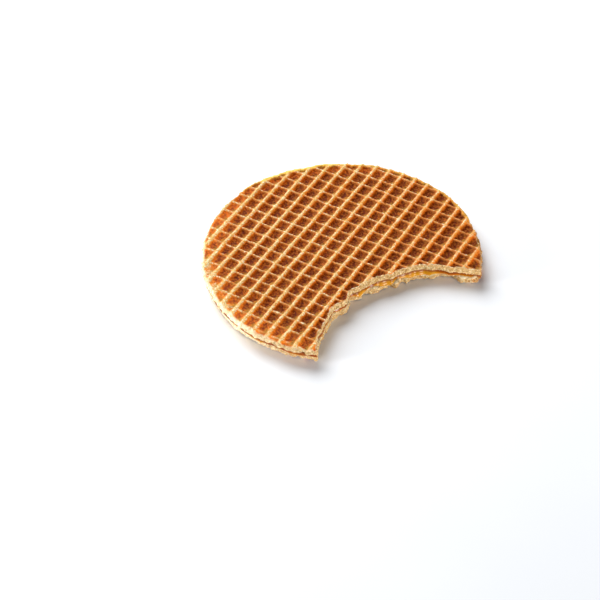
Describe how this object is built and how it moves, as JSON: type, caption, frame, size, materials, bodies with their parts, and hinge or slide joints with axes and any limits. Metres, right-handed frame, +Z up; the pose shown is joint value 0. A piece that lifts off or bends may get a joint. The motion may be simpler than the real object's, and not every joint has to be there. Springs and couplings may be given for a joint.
{
  "type": "stroopwafel",
  "caption": "Round syrup waffle biscuit, two thin waffle discs with a caramel layer between them and a bite out of the near right edge.",
  "frame": {"origin": "centre of the disc, on the plane that the lower wafer's ridges rest on", "axes": "+Z up through the biscuit, -Y the near side, with the bite towards +X and -Y"},
  "size_m": [0.08, 0.0793, 0.0059],
  "materials": {
    "wafer_upper": "baked waffle with pale golden ridges and brown pocket floors, matt with a faint butter sheen",
    "syrup": "glossy, slightly translucent amber caramel",
    "wafer_lower": "baked waffle with pale golden ridges and brown pocket floors, matt with a faint butter sheen"
  },
  "bodies": {
    "root": {"wafer_upper": "wafer_upper", "syrup": "syrup", "wafer_lower": "wafer_lower"}
  },
  "joints": []
}
